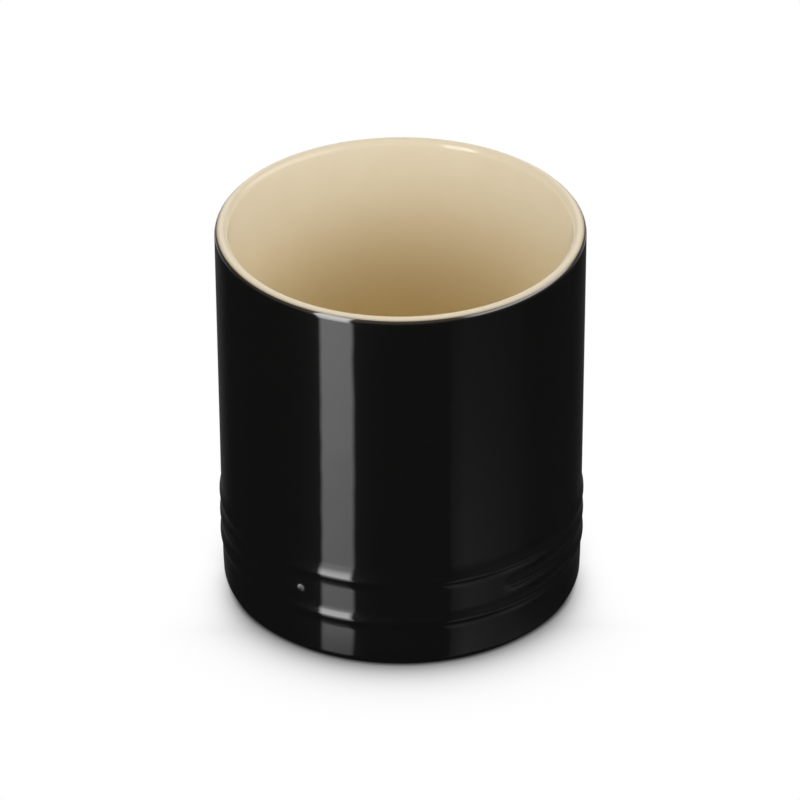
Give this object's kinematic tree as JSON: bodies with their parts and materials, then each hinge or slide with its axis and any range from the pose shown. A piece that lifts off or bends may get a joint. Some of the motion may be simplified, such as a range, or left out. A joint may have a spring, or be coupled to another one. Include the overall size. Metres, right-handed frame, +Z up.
{
  "type": "utensil crock",
  "caption": "Tall straight stoneware crock for kitchen utensils: dark glaze outside, pale glaze inside and over the rounded lip, raised rings near the base, bare front panel.",
  "frame": {"origin": "centre of the crock's footprint, on the surface that it stands on", "axes": "+Z up along the crock's axis, -Y towards the front, where the bare panel interrupts the middle ring"},
  "size_m": [0.161, 0.161, 0.175],
  "materials": {
    "stoneware": "fired, unglazed and dry",
    "dark_glaze": "glossy black glaze",
    "cream_glaze": "glossy cream glaze"
  },
  "bodies": {
    "root": {"stoneware_body": "stoneware", "exterior_glaze": "dark_glaze", "interior_glaze": "cream_glaze", "base_glaze": "dark_glaze"}
  },
  "joints": []
}
